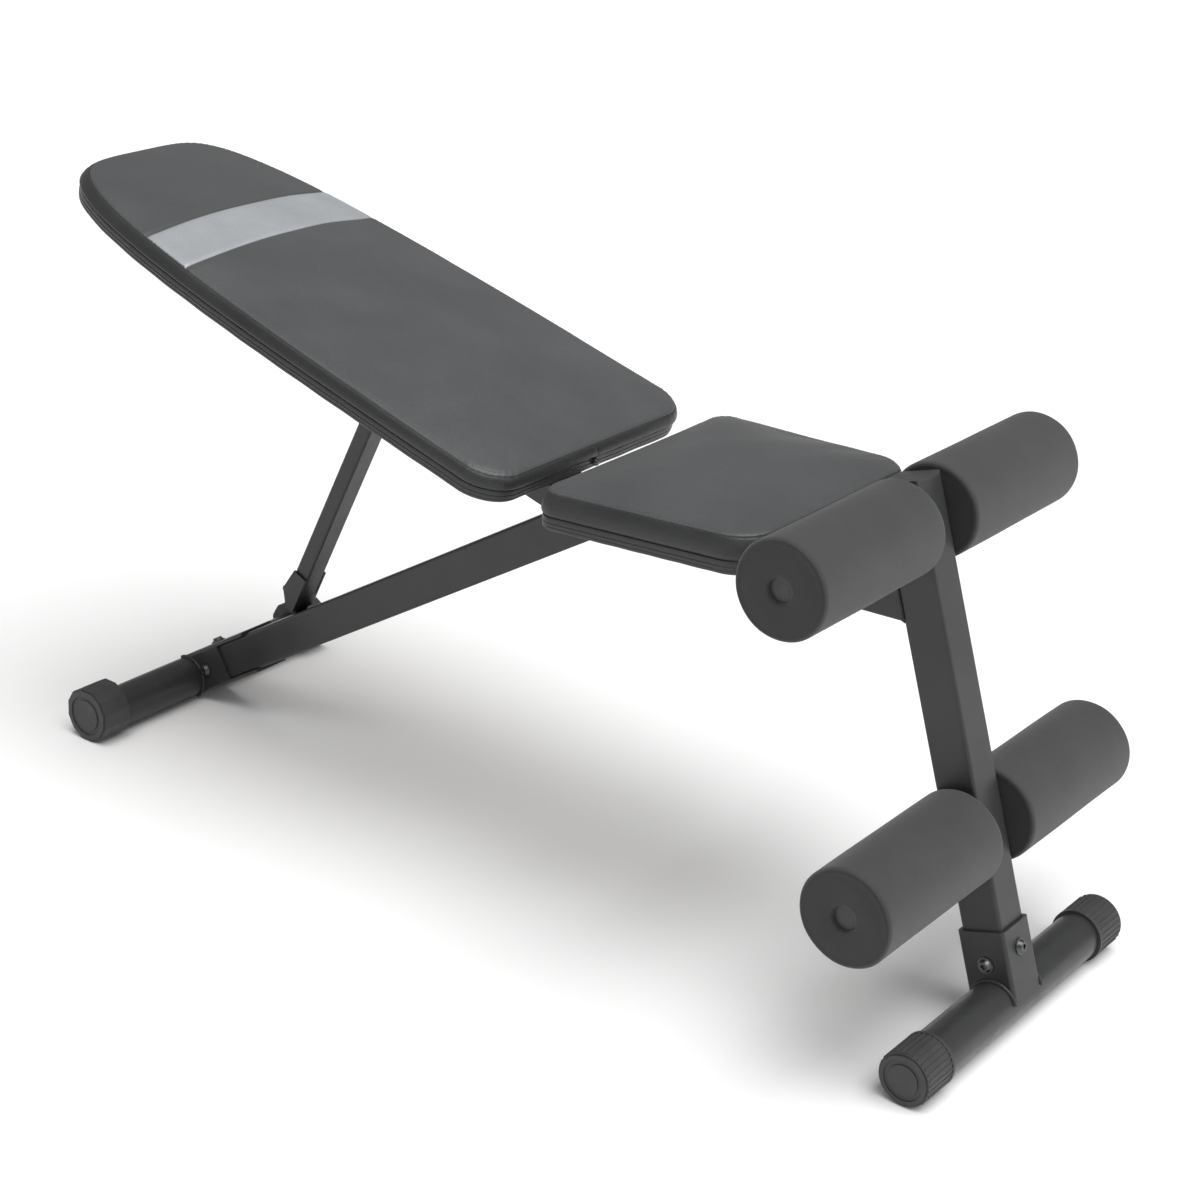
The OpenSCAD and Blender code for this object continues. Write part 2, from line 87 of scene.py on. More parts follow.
def add_camera():
    """The camera: where it stands, where it faces, its roll, lens and shift."""
    stand = (1.59155, -2.07347, 1.40389)
    azimuth = radians(37.281)
    elevation = radians(19.4)
    roll = radians(2.411)
    back = Vector((sin(azimuth) * cos(elevation), -cos(azimuth) * cos(elevation), sin(elevation)))
    right = Vector((cos(azimuth), sin(azimuth), 0))
    up = back.cross(right)
    rolled_right = cos(roll) * right + sin(roll) * up
    rolled_up = cos(roll) * up - sin(roll) * right
    data = bpy.data.cameras.new("camera")
    data.lens = 77.61
    data.shift_x = 0.0382
    data.shift_y = -0.1494
    camera = bpy.data.objects.new("camera", data)
    turn = Matrix((rolled_right, rolled_up, back)).transposed()
    camera.matrix_world = Matrix.Translation(stand) @ turn.to_4x4()
    bpy.context.scene.collection.objects.link(camera)
    bpy.context.scene.camera = camera


# ---------- mesh helpers ----------

def new_object(name, verts, faces, material, smooth=True):
    """A mesh object from points and faces, with normals facing out."""
    mesh = bpy.data.meshes.new(name)
    mesh.from_pydata([tuple(v) for v in verts], [], [tuple(f) for f in faces])
    mesh.validate()
    mesh.polygons.foreach_set("use_smooth", [smooth] * len(mesh.polygons))
    mesh.materials.append(material)
    piece = bpy.data.objects.new(name, mesh)
    bpy.context.scene.collection.objects.link(piece)
    return piece


def ring_faces(rings, around, closed=False, first=0):
    """Quads between rings of points; a closed set joins its last ring to its first."""
    faces = []
    for ring in range(rings if closed else rings - 1):
        low = first + ring * around
        high = first + (ring + 1) % rings * around
        for i in range(around):
            j = (i + 1) % around
            faces.append((low + i, high + i, high + j, low + j))
    return faces


def weld_doubles(piece):
    """Joins points that coincide and faces every normal outwards."""
    mesh = bmesh.new()
    mesh.from_mesh(piece.data)
    bmesh.ops.remove_doubles(mesh, verts=mesh.verts, dist=0.01 * MM)
    bmesh.ops.recalc_face_normals(mesh, faces=mesh.faces)
    mesh.to_mesh(piece.data)
    mesh.free()


def coordinates(piece):
    """A mesh's points as an array."""
    flat = np.zeros(len(piece.data.vertices) * 3)
    piece.data.vertices.foreach_get("co", flat)
    return flat.reshape(-1, 3)


def set_coordinates(piece, points):
    """Moves a mesh's points."""
    piece.data.vertices.foreach_set("co", np.asarray(points).ravel())
    piece.data.update()


def running_length(points):
    """How far along a line of points each one lies."""
    steps = np.linalg.norm(np.diff(points, axis=0), axis=1)
    return np.concatenate([[0], np.cumsum(steps)])


def axes_at(origin, along, normal):
    """A local frame: X along, Z along the normal, Y square to both."""
    across = normal.cross(along)
    turn = Matrix((along, across, normal)).transposed()
    return Matrix.Translation(origin) @ turn.to_4x4()


def local_box(node, place):
    """Lowest and highest corner of a CAD node in a local frame."""
    inverse = place.inverted()
    points = np.array([inverse @ v.co for v in frame["nodes"][node].data.vertices])
    return points.min(0), points.max(0)


# ---------- materials ----------

class Shader:
    """A node material being built, with object-space coordinates and one principled surface."""

    def __init__(self, name, metallic=0.0, ior=1.5, sheen=0.0, sheen_roughness=0.5, coat=0.0):
        self.material = bpy.data.materials.new(name)
        self.material.use_nodes = True
        self.nodes = self.material.node_tree.nodes
        self.links = self.material.node_tree.links
        self.surface = self.nodes["Principled BSDF"]
        self.surface.inputs["Metallic"].default_value = metallic
        self.surface.inputs["IOR"].default_value = ior
        self.surface.inputs["Sheen Weight"].default_value = sheen
        self.surface.inputs["Sheen Roughness"].default_value = sheen_roughness
        self.surface.inputs["Coat Weight"].default_value = coat
        self.place = self.nodes.new("ShaderNodeTexCoord").outputs["Object"]

    def stretched(self, scale):
        """The coordinates scaled along each axis."""
        mapping = self.nodes.new("ShaderNodeMapping")
        mapping.inputs["Scale"].default_value = scale
        self.links.new(self.place, mapping.inputs["Vector"])
        return mapping.outputs["Vector"]

    def noise(self, size, detail=2.0, roughness=0.5, vector=None):
        """Cloudy noise whose features are about size across."""
        node = self.nodes.new("ShaderNodeTexNoise")
        node.inputs["Scale"].default_value = 1 / size
        node.inputs["Detail"].default_value = detail
        node.inputs["Roughness"].default_value = roughness
        self.links.new(vector or self.place, node.inputs["Vector"])
        return node.outputs["Fac"]

    def cells(self, size, feature="F1", smooth=0.6):
        """Distance within cells about size across."""
        node = self.nodes.new("ShaderNodeTexVoronoi")
        node.feature = feature
        node.inputs["Scale"].default_value = 1 / size
        if feature == "SMOOTH_F1":
            node.inputs["Smoothness"].default_value = smooth
        self.links.new(self.place, node.inputs["Vector"])
        return node.outputs["Distance"]

    def ramp(self, value, low, high, to_low=0.0, to_high=1.0):
        """value from low..high mapped to to_low..to_high, and held at both ends."""
        node = self.nodes.new("ShaderNodeMapRange")
        node.inputs["From Min"].default_value = low
        node.inputs["From Max"].default_value = high
        node.inputs["To Min"].default_value = to_low
        node.inputs["To Max"].default_value = to_high
        self.links.new(value, node.inputs["Value"])
        return node.outputs["Result"]

    def clouds(self, size, detail, to_low=0.0, to_high=1.0):
        """Clouding with features about size across, from to_low to to_high."""
        return self.ramp(self.noise(size, detail), 0.3, 0.7, to_low, to_high)

    def maths(self, kind, a, b):
        """One sum on two values, each a socket or a number."""
        node = self.nodes.new("ShaderNodeMath")
        node.operation = kind
        for socket, value in zip(node.inputs, (a, b)):
            if isinstance(value, (int, float)):
                socket.default_value = value
            else:
                self.links.new(value, socket)
        return node.outputs["Value"]

    def blend(self, factor, first, second):
        """A colour between two, each a socket or a grey/RGB value."""
        node = self.nodes.new("ShaderNodeMix")
        node.data_type = "RGBA"
        self.links.new(factor, node.inputs["Factor"])
        for socket, value in ((node.inputs[6], first), (node.inputs[7], second)):
            if isinstance(value, tuple):
                socket.default_value = (*value, 1)
            else:
                self.links.new(value, socket)
        return node.outputs[2]

    def edge_mask(self, radius):
        """1 on sharp outer edges within radius, 0 on flat faces."""
        softened = self.rounded(radius)
        dot = self.nodes.new("ShaderNodeVectorMath")
        dot.operation = "DOT_PRODUCT"
        geometry = self.nodes.new("ShaderNodeNewGeometry")
        self.links.new(softened, dot.inputs[0])
        self.links.new(geometry.outputs["Normal"], dot.inputs[1])
        return self.ramp(dot.outputs["Value"], 0.99, 0.80)

    def rounded(self, radius):
        """Normals that round hard edges off by radius."""
        bevel = self.nodes.new("ShaderNodeBevel")
        bevel.samples = 4
        bevel.inputs["Radius"].default_value = radius
        return bevel.outputs["Normal"]

    def bump(self, height, distance, normal=None):
        """Adds relief of that depth on top of the normal given."""
        node = self.nodes.new("ShaderNodeBump")
        node.inputs["Distance"].default_value = distance
        self.links.new(height, node.inputs["Height"])
        if normal is not None:
            self.links.new(normal, node.inputs["Normal"])
        return node.outputs["Normal"]

    def finish(self, colour, roughness, normal):
        """Joins colour, roughness and normal to the surface."""
        self.links.new(colour, self.surface.inputs["Base Color"])
        self.links.new(roughness, self.surface.inputs["Roughness"])
        self.links.new(normal, self.surface.inputs["Normal"])
        return self.material


def grey(level, blue=1.0):
    """A nearly neutral linear colour, a little cooler where blue is above 1."""
    return (level, level * (1 + blue) / 2, level * blue)


def powder_coat():
    """Satin charcoal powder coat: orange peel, faint clouding and rubbed edges."""
    s = Shader("powder_coat", ior=1.42)
    clouds = s.clouds(90 * MM, 3)
    colour = s.blend(clouds, grey(0.026, 1.04), grey(0.034, 1.04))
    flecks = s.ramp(s.noise(0.9 * MM, 1), 0.62, 0.8, 0, 0.25)
    colour = s.blend(flecks, colour, grey(0.06))
    edges = s.edge_mask(1.2 * MM)
    wear = s.maths("MULTIPLY", edges, s.ramp(s.noise(14 * MM, 4), 0.45, 0.75, 0, 0.5))
    colour = s.blend(wear, colour, grey(0.11))
    roughness = s.clouds(30 * MM, 4, 0.30, 0.40)
    normal = s.bump(s.noise(1.6 * MM, 2), 0.05 * MM, s.rounded(0.8 * MM))
    return s.finish(colour, roughness, normal)


def leather_grain(s, size):
    """Pebbled grain with fine creases between the pebbles."""
    pebbles = s.ramp(s.cells(size, "SMOOTH_F1"), 0.0, 0.7, 1, 0)
    creases = s.noise(size * 2.2, 3, 0.6)
    return s.maths("ADD", pebbles, s.maths("MULTIPLY", creases, 0.8))


def vinyl(name, dark, light, rough=0.46):
    """Leather-look vinyl: pebbled grain, soft sheen, faint clouding and polished patches."""
    s = Shader(name, sheen=0.08, sheen_roughness=0.4)
    grain = leather_grain(s, 1.3 * MM)
    clouds = s.clouds(120 * MM, 3)
    colour = s.blend(clouds, dark, light)
    valleys = s.ramp(grain, 0.4, 0.9, 0.35, 0)
    colour = s.blend(valleys, colour, tuple(0.6 * c for c in dark))
    roughness = s.clouds(60 * MM, 4, rough - 0.05, rough + 0.06)
    normal = s.bump(s.noise(9 * MM, 3), 0.10 * MM)
    normal = s.bump(grain, 0.09 * MM, normal)
    return s.finish(colour, roughness, normal)


def silver_vinyl():
    """The pale silver strip: a finer grain with a slight metallic lustre."""
    s = Shader("silver_vinyl", metallic=0.25)
    grain = leather_grain(s, 0.9 * MM)
    clouds = s.clouds(60 * MM, 3)
    colour = s.blend(clouds, grey(0.36, 1.10), grey(0.41, 1.10))
    colour = s.blend(s.ramp(grain, 0.4, 0.9, 0.25, 0), colour, grey(0.20, 1.08))
    roughness = s.clouds(25 * MM, 4, 0.42, 0.52)
    return s.finish(colour, roughness, s.bump(grain, 0.06 * MM))


def foam(name, dark, light):
    """Closed-cell foam rubber: open pores, fine tooth and a few pale specks."""
    s = Shader(name, sheen=0.15, sheen_roughness=0.6)
    pores = s.cells(1.4 * MM)
    fine = s.noise(0.8 * MM, 3, 0.7)
    clouds = s.clouds(45 * MM, 4)
    colour = s.blend(clouds, dark, light)
    colour = s.blend(s.ramp(fine, 0.5, 0.8, 0, 0.5), colour, tuple(1.8 * c for c in light))
    specks = s.ramp(s.cells(3.1 * MM), 0.0, 0.10, 0.8, 0)
    colour = s.blend(specks, colour, grey(0.08))
    relief = s.maths("ADD", s.ramp(pores, 0.0, 0.35), s.maths("MULTIPLY", fine, 0.9))
    roughness = s.ramp(fine, 0.3, 0.7, 0.72, 0.88)
    normal = s.bump(s.noise(7 * MM, 3), 0.12 * MM)
    return s.finish(colour, roughness, s.bump(relief, 0.16 * MM, normal))


def moulded_plastic(name, level):
    """Black moulded plastic with a spark-eroded texture and softly rounded edges."""
    s = Shader(name)
    clouds = s.clouds(20 * MM, 3)
    colour = s.blend(clouds, grey(level), grey(level * 1.25))
    scuffs = s.ramp(s.noise(6 * MM, 5, 0.7, s.stretched((1, 0.3, 1))), 0.62, 0.75, 0, 0.4)
    colour = s.blend(scuffs, colour, grey(level * 2.0))
    roughness = s.clouds(10 * MM, 4, 0.46, 0.60)
    normal = s.bump(s.noise(0.5 * MM, 2), 0.04 * MM, s.rounded(0.6 * MM))
    return s.finish(colour, roughness, normal)


def bare_metal(name, level, rough):
    """Plated or blackened steel with fine mottling and bright worn edges."""
    s = Shader(name, metallic=1.0)
    clouds = s.clouds(8 * MM, 4)
    colour = s.blend(clouds, grey(level, 1.03), grey(level * 1.3, 1.03))
    edges = s.edge_mask(0.7 * MM)
    wear = s.maths("MULTIPLY", edges, s.ramp(s.noise(3 * MM, 3), 0.4, 0.7, 0.1, 0.8))
    colour = s.blend(wear, colour, grey(min(1.0, level * 2.4 + 0.1)))
    roughness = s.ramp(s.noise(2 * MM, 5, 0.7), 0.3, 0.7, rough - 0.06, rough + 0.1)
    normal = s.bump(s.noise(1.2 * MM, 3, 0.6), 0.03 * MM, s.rounded(0.4 * MM))
    return s.finish(colour, roughness, normal)


def plywood():
    """Birch plywood seen from below: long grain, dark streaks and open pores."""
    s = Shader("plywood")
    grain = s.noise(16 * MM, 6, 0.6, s.stretched((0.12, 1, 1)))
    pores = s.ramp(s.noise(1.6 * MM, 3, 0.7, s.stretched((0.08, 1, 1))), 0.58, 0.7)
    colour = s.blend(s.ramp(grain, 0.3, 0.7), (0.30, 0.19, 0.10), (0.47, 0.33, 0.19))
    colour = s.blend(s.maths("MULTIPLY", pores, 0.5), colour, (0.14, 0.08, 0.04))
    roughness = s.ramp(grain, 0.3, 0.7, 0.60, 0.75)
    return s.finish(colour, roughness, s.bump(s.maths("SUBTRACT", grain, pores), 0.15 * MM))


def thread(level):
    """Twisted sewing thread."""
    s = Shader("thread", sheen=0.3)
    twist = s.noise(0.25 * MM, 2)
    colour = s.blend(s.ramp(twist, 0.35, 0.65), grey(level * 0.7), grey(level * 1.3))
    return s.finish(colour, s.ramp(twist, 0.3, 0.7, 0.6, 0.8), s.bump(twist, 0.05 * MM))


def pale_floor():
    """The plain studio floor."""
    s = Shader("pale_floor")
    clouds = s.clouds(0.6, 3)
    colour = s.blend(clouds, grey(0.93), grey(0.96))
    return s.finish(colour, s.ramp(clouds, 0, 1, 0.7, 0.8), s.bump(s.noise(3 * MM, 2), 0.02 * MM))


steel_look = powder_coat()
pad_look = vinyl("pad_vinyl", grey(0.062, 1.06), grey(0.076, 1.06))
# side_vinyl_painted_shade is the same vinyl as pad_vinyl painted about three times darker: painted shade
# on the cushions' walls and undersides
shaded_side_look = vinyl("side_vinyl_painted_shade", grey(0.020, 1.05), grey(0.026, 1.05))
# edge_vinyl_painted_shade is likewise the pad vinyl painted about three times darker: painted shade on
# the wrapped board edges and the seam welts
shaded_edge_look = vinyl("edge_vinyl_painted_shade", grey(0.020, 1.05), grey(0.027, 1.05), 0.42)
silver_look = silver_vinyl()
foam_look = foam("foam_barrel", grey(0.021, 1.03), grey(0.028, 1.03))
foam_end_look = foam("foam_end", grey(0.008), grey(0.012))
plastic_look = moulded_plastic("cap_plastic", 0.032)
bolt_look = bare_metal("black_bolt", 0.10, 0.38)
axle_look = bare_metal("axle_steel", 0.16, 0.34)
wood_look = plywood()
thread_look = thread(0.075)
staple_look = bare_metal("staple_steel", 0.45, 0.3)

SLOT_LOOKS = {
    "frame_steel": steel_look,
    "axle_steel": axle_look,
    "bolt_steel": bolt_look,
    "cap_plastic": plastic_look,
    "board_wood": wood_look,
    "roller_foam": foam_look,
    "pad_vinyl": pad_look
}


def dress_cad_nodes():
    """Each CAD node that stays takes the node material of its slot."""
    for node in frame["nodes"].values():
        for place in node.material_slots:
            place.material = SLOT_LOOKS[place.material.name.split(".")[0]]


# ---------- cushion outlines ----------

def arc(centre, radius, start, end, steps=24):
    """Points along a circle's arc, angles in degrees."""
    turns = np.radians(np.linspace(start, end, steps))
    return [(centre[0] + radius * cos(t), centre[1] + radius * sin(t)) for t in turns]


def spaced(points, count):
    """count + 1 points at even distances along a line of points."""
    points = np.array(points)
    along = running_length(points)
    wanted = np.linspace(0, along[-1], count + 1)
    return np.stack([np.interp(wanted, along, points[:, k]) for k in (0, 1)], axis=1)


def seat_half(length, rear_w):
    """Half of the seat's plan: four round corners and sides that close in towards the rollers."""
    r0, r1 = SEAT_CORNERS
    half = [(0, 0)]
    half += arc((r0, rear_w / 2 - r0), r0, 180, 92)
    half += arc((length - r1, SEAT_FRONT_W / 2 - r1), r1, 87, 0)
    return half + [(length, 0)]


def back_half(length, width):
    """Half of the backrest's plan: a round corner, then an oval that narrows all the way to the head."""
    r = BACK_R
    reach = length + BACK_MID
    half = [(0, 0)]
    half += arc((r, width / 2 - r), r, 180, 92)
    for turn in np.radians(np.linspace(0, 90, 400)):
        u = reach * sin(turn) ** (2 / BACK_POWER) - BACK_MID
        if u > r:
            half.append((u, width / 2 * abs(cos(turn)) ** (2 / BACK_POWER)))
    return half


def outline(half, count):
    """A cushion's whole plan from its half, clockwise from its straight end, with its outward normals."""
    half = spaced(half, count // 2)
    half[0, 1] = half[-1, 1] = 0
    points = np.concatenate([half, half[-2:0:-1] * [1, -1]])
    tangent = np.roll(points, -1, axis=0) - np.roll(points, 1, axis=0)
    tangent /= np.linalg.norm(tangent, axis=1, keepdims=True)
    return points, np.stack([-tangent[:, 1], tangent[:, 0]], axis=1)


def smooth_step(x):
    """0 to 1, level at both ends."""
    x = np.clip(x, 0, 1)
    return x * x * (3 - 2 * x)


# ---------- cushions ----------

class Cushion:
    """One cushion: a crowned top panel and a side wall, sewn together all round, over a wrapped board."""

    WALL_ROW = 6                  # the first row above the groove, which is held
    SEAM_ROW = 18                 # the row that the top seam lies in
    THREAD_ROW = 22               # the row of top stitching, inside the seam
    SHOULDER = 4.5 * MM           # height that the top gains close to the seam
    NEAR_ROWS = (0.7, 1.6, 2.8, 4.5, 7, 10, 14, 19)    # the top's first rows, mm in from the seam
    FAR_ROWS = 21                 # rows from the last of those to the middle

    def __init__(self, name, place, length, width, half, seam_h, seam_in, crown, board_inset, body):
        self.name = name
        self.place = place
        self.length = length
        self.width = width
        self.seam_h = seam_h          # height of the top seam above the board's underside
        self.seam_in = seam_in        # how far the seam stands in at the straight end and at the other
        self.crown = crown            # rise above the seam at both ends of the length
        self.board_inset = board_inset
        self.body = body
        self.count = 2 * round((length + width) / RING_PITCH)
        self.points, self.normals = outline(half, self.count)
        lean = seam_in[0] + (seam_in[1] - seam_in[0]) * smooth_step(self.points[:, 0] / length)
        self.lean = lean[:, None]     # the seam's inset at each point of the outline

    def inset(self, distance, height):
        """The outline moved in by distance, at a height."""
        flat = self.points - self.normals * distance
        return np.column_stack([flat, np.full(self.count, height)])

    def spine(self):
        """The middle line that the top panel's rows run in to."""
        reach = min(0.42 * self.width, 0.48 * self.length)
        middle = np.clip(self.points[:, 0], reach, self.length - reach)
        return np.column_stack([middle, np.zeros(self.count)])

    def top_height(self, depth, share, along):
        """Height above the seam: a quick shoulder by the seam, then a long low crown."""
        shoulder = self.SHOULDER * (1 - np.exp(-depth / (7 * MM)))
        rise = self.crown[0] + (self.crown[1] - self.crown[0]) * smooth_step(along / self.length)
        return shoulder + rise * (1 - (1 - share) ** 2.2)

    def top_rows(self):
        """Rows of the top panel, close together by the seam and wider towards the middle."""
        seam = self.points - self.normals * self.lean
        inward = self.spine() - seam
        reach = np.linalg.norm(inward, axis=1, keepdims=True)
        rows = [np.full((self.count, 1), d * MM) for d in self.NEAR_ROWS]
        last = self.NEAR_ROWS[-1] * MM
        rows += [last + (reach - last) * t for t in np.linspace(0, 1, self.FAR_ROWS + 1)[1:]]
        for row in rows:
            flat = seam + inward / reach * row
            height = self.top_height(row[:, 0], (row / reach)[:, 0], flat[:, 0])
            yield np.column_stack([flat, self.seam_h + height])

    def rows(self):
        """Every row of the closed cushion, from the middle of its underside to the middle of its top."""
        spine = self.spine()
        under = self.inset(GROOVE_IN + 3 * MM, GROOVE_H - 1.4 * MM)
        for t in (1, 0.66, 0.33):
            flat = under[:, :2] + (spine - under[:, :2]) * t
            yield np.column_stack([flat, under[:, 2]])
        yield under
        yield self.inset(GROOVE_IN + 0.8 * MM, GROOVE_H - 0.6 * MM)
        wall = self.seam_h - GROOVE_H
        for share in np.linspace(0, 1, 13):
            belly = 1.6 * MM * sin(pi * share) + 2.0 * MM * min(1, share * 9) * (1 - share)
            inward = GROOVE_IN + (self.lean - GROOVE_IN) * share - belly
            yield self.inset(inward, GROOVE_H + wall * share)
        yield self.inset(self.lean + 0.4 * MM, self.seam_h - 0.1 * MM)
        yield from self.top_rows()

    def build(self):
        """Makes the closed mesh, still in the cushion's own frame."""
        rows = list(self.rows())
        verts = np.concatenate(rows)
        piece = new_object(self.name, verts, ring_faces(len(rows), self.count), pad_look)
        # rows below the top seam take the darker side vinyl, painted shade on the wall and underside
        piece.data.materials.append(shaded_side_look)
        for face in piece.data.polygons:
            face.material_index = int(face.index // self.count < self.SEAM_ROW)
        self.raw = verts
        self.row_count = len(rows)
        self.piece = piece

    def swell(self, shift):
        """Moves every point by shift, then adds a seam valley, puckers and slight unevenness."""
        verts = self.raw + shift
        rows = self.row_count
        row = np.repeat(np.arange(rows), self.count)
        along = np.tile(np.arange(self.count) / self.count, rows)
        from_seam = np.abs(self.raw[:, 2] - self.seam_h)
        seam = np.tile(self.points - self.normals * self.lean, (rows, 1))
        flat_from_seam = np.linalg.norm(self.raw[:, :2] - seam, axis=1)
        distance = np.hypot(from_seam, flat_from_seam)
        turning = np.roll(self.normals, -2, axis=0) - np.roll(self.normals, 2, axis=0)
        turning = np.linalg.norm(turning, axis=1)
        corner = np.tile(np.clip(turning / turning.max() * 1.4, 0, 1), rows)
        perimeter = 2 * (self.length + self.width)
        gathers = np.sin(tau * along * perimeter / (9.5 * MM) + 2 * np.sin(tau * along * 23))
        pucker = (0.10 + 0.45 * corner) * MM * gathers * np.exp(-distance / (7 * MM))
        pucker[row < self.WALL_ROW] = 0
        valley = -0.9 * MM * np.exp(-(distance / (1.3 * MM)) ** 2)
        top = row > self.SEAM_ROW
        uneven = 0.35 * MM * (np.sin(verts[:, 0] * 41) * np.cos(verts[:, 1] * 33 + 1)
                              + 0.6 * np.sin(verts[:, 0] * 77 + 2) * np.sin(verts[:, 1] * 59))
        lift = np.where(top, pucker + uneven * np.clip(distance / (20 * MM), 0, 1), 0)
        verts[:, 2] += lift + np.where(row >= self.SEAM_ROW, valley, 0)
        outward = np.tile(self.normals, (rows, 1))
        side = (row >= self.WALL_ROW) & (row <= self.SEAM_ROW)
        verts[:, :2] += outward * np.where(side, pucker + valley, 0)[:, None]
        verts += self.extra_detail(self.raw, row, outward)
        self.verts = verts
        set_coordinates(self.piece, verts)
        self.surface = BVHTree.FromPolygons(
            [tuple(v) for v in verts], [tuple(p.vertices) for p in self.piece.data.polygons])

    def extra_detail(self, raw, row, outward):
        """Detail that only one cushion has."""
        return np.zeros_like(raw)

    def ring(self, row):
        """The points of one row of the finished cushion."""
        return self.verts[row * self.count:(row + 1) * self.count]

    def height_at(self, u, v):
        """The top surface's point above u, v."""
        hit = self.surface.ray_cast(Vector((u, v, 0.2)), Vector((0, 0, -1)))
        return hit[0]

    def put(self, piece, slot="pad_vinyl"):
        """Places a piece made in the cushion's frame, and lets it ride with the cushion's body."""
        piece.data.transform(self.place)
        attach(piece, self.body)


class BackCushion(Cushion):
    """The backrest, with valleys beside its silver band and a stitched join in its seat end."""

    def extra_detail(self, raw, row, outward):
        """A valley along each edge of the band, and one down the join."""
        shift = np.zeros_like(raw)
        top = row > self.SEAM_ROW
        for edge in (BAND_FROM, BAND_TO):
            valley = 1.1 * MM * np.exp(-((raw[:, 0] - edge) / (3 * MM)) ** 2)
            shift[:, 2] -= np.where(top, valley, 0)
        join = 0.8 * MM * np.exp(-(raw[:, 1] / (2.2 * MM)) ** 2)
        wall = (row >= self.WALL_ROW) & (row <= self.SEAM_ROW) & (raw[:, 0] < 20 * MM)
        shift[:, :2] -= outward * np.where(wall, join, 0)[:, None]
        return shift


def point_tree(points):
    """A search tree over points."""
    tree = KDTree(len(points))
    for i, point in enumerate(points):
        tree.insert(point, i)
    tree.balance()
    return tree


def cloth_shift(cushion):
    """How far each point moves when the cushion's cover is blown up by cloth pressure, at most PUFF.

    The cover is pinned along the groove and the top seam, so the wall and the top swell between them.
    """
    scene = bpy.context.scene
    frames = 20
    cover = cushion.piece.copy()
    cover.data = cushion.piece.data.copy()
    scene.collection.objects.link(cover)
    remesh = cover.modifiers.new("remesh", "REMESH")
    remesh.mode = "VOXEL"
    remesh.voxel_size = 6 * MM
    bpy.context.view_layer.objects.active = cover
    bpy.ops.object.modifier_apply(modifier="remesh")
    rest = coordinates(cover)
    seam_start = cushion.SEAM_ROW * cushion.count
    seam_line = point_tree(cushion.raw[seam_start:seam_start + cushion.count])
    near_seam = [seam_line.find(point)[2] < 5 * MM for point in rest]
    held = [i for i, point in enumerate(rest) if point[2] < GROOVE_H + 1 * MM or near_seam[i]]
    cover.vertex_groups.new(name="held").add(held, 1.0, "REPLACE")
    cloth = cover.modifiers.new("cloth", "CLOTH")
    cloth.settings.quality = 6
    cloth.settings.use_pressure = True
    cloth.settings.uniform_pressure_force = 4
    cloth.settings.effector_weights.gravity = 0
    cloth.settings.vertex_group_mass = "held"
    cloth.point_cache.frame_start = 1
    cloth.point_cache.frame_end = frames
    for number in range(1, frames + 1):
        scene.frame_set(number)
    blown = cover.evaluated_get(bpy.context.evaluated_depsgraph_get())
    flat = np.zeros(len(rest) * 3)
    blown.data.vertices.foreach_get("co", flat)
    moved = flat.reshape(-1, 3) - rest
    bpy.data.objects.remove(cover)
    scene.frame_set(1)
    size = np.linalg.norm(moved, axis=1, keepdims=True)
    moved *= PUFF * np.tanh(size / PUFF) / np.maximum(size, 1e-9)
    tree = point_tree(rest)
    shift = np.zeros_like(cushion.raw)
    for i, point in enumerate(cushion.raw):
        near = tree.find_n(point, 8)
        weights = np.array([1 / (distance + 2 * MM) for _, _, distance in near])
        shift[i] = weights @ moved[[index for _, index, _ in near]] / weights.sum()
    shift[:cushion.count * cushion.WALL_ROW] = 0
    return shift


def edge_wrap(cushion):
    """The vinyl wrapped round the board's edge: a closed ring with fold lines, turned under the board."""
    inner = cushion.board_inset - 0.7 * MM
    outer = inner - 1.6 * MM
    under = WRAP_UNDER
    profile = [(inner, 1 * MM), (inner + 26 * MM, -0.4 * MM), (inner + 33 * MM, -0.5 * MM),
               (inner + 33 * MM, under + 0.5 * MM), (inner + 12 * MM, under), (outer + 2.5 * MM, under),
               (outer + 1.2 * MM, -0.9 * MM)]
    for z in np.linspace(0.4, 12.6, 25):
        fold = 0.75 * max(np.exp(-((z - line) / 0.7) ** 2) for line in (3.6, 7.8))
        belly = 1.0 * sin(pi * (z + 1) / 15)
        profile += [(outer + (fold - belly) * MM, z * MM)]
    profile += [(outer + 0.6 * MM, 13.6 * MM), (outer + 2 * MM, 14.0 * MM),
                (inner + 1.5 * MM, 13.5 * MM), (inner, BOARD_H)]
    rings = np.concatenate([cushion.inset(d, z) for d, z in profile])
    wave = 0.25 * MM * np.sin(np.arange(cushion.count) / cushion.count * tau * 31)
    rings[:, :2] += np.tile(cushion.normals * wave[:, None], (len(profile), 1))
    faces = ring_faces(len(profile), cushion.count, closed=True)
    # the darker edge vinyl here is painted shade on the side-facing wrapped band
    piece = new_object(cushion.name + "_wrap", rings, faces, shaded_edge_look)
    weld_doubles(piece)
    cushion.put(piece)


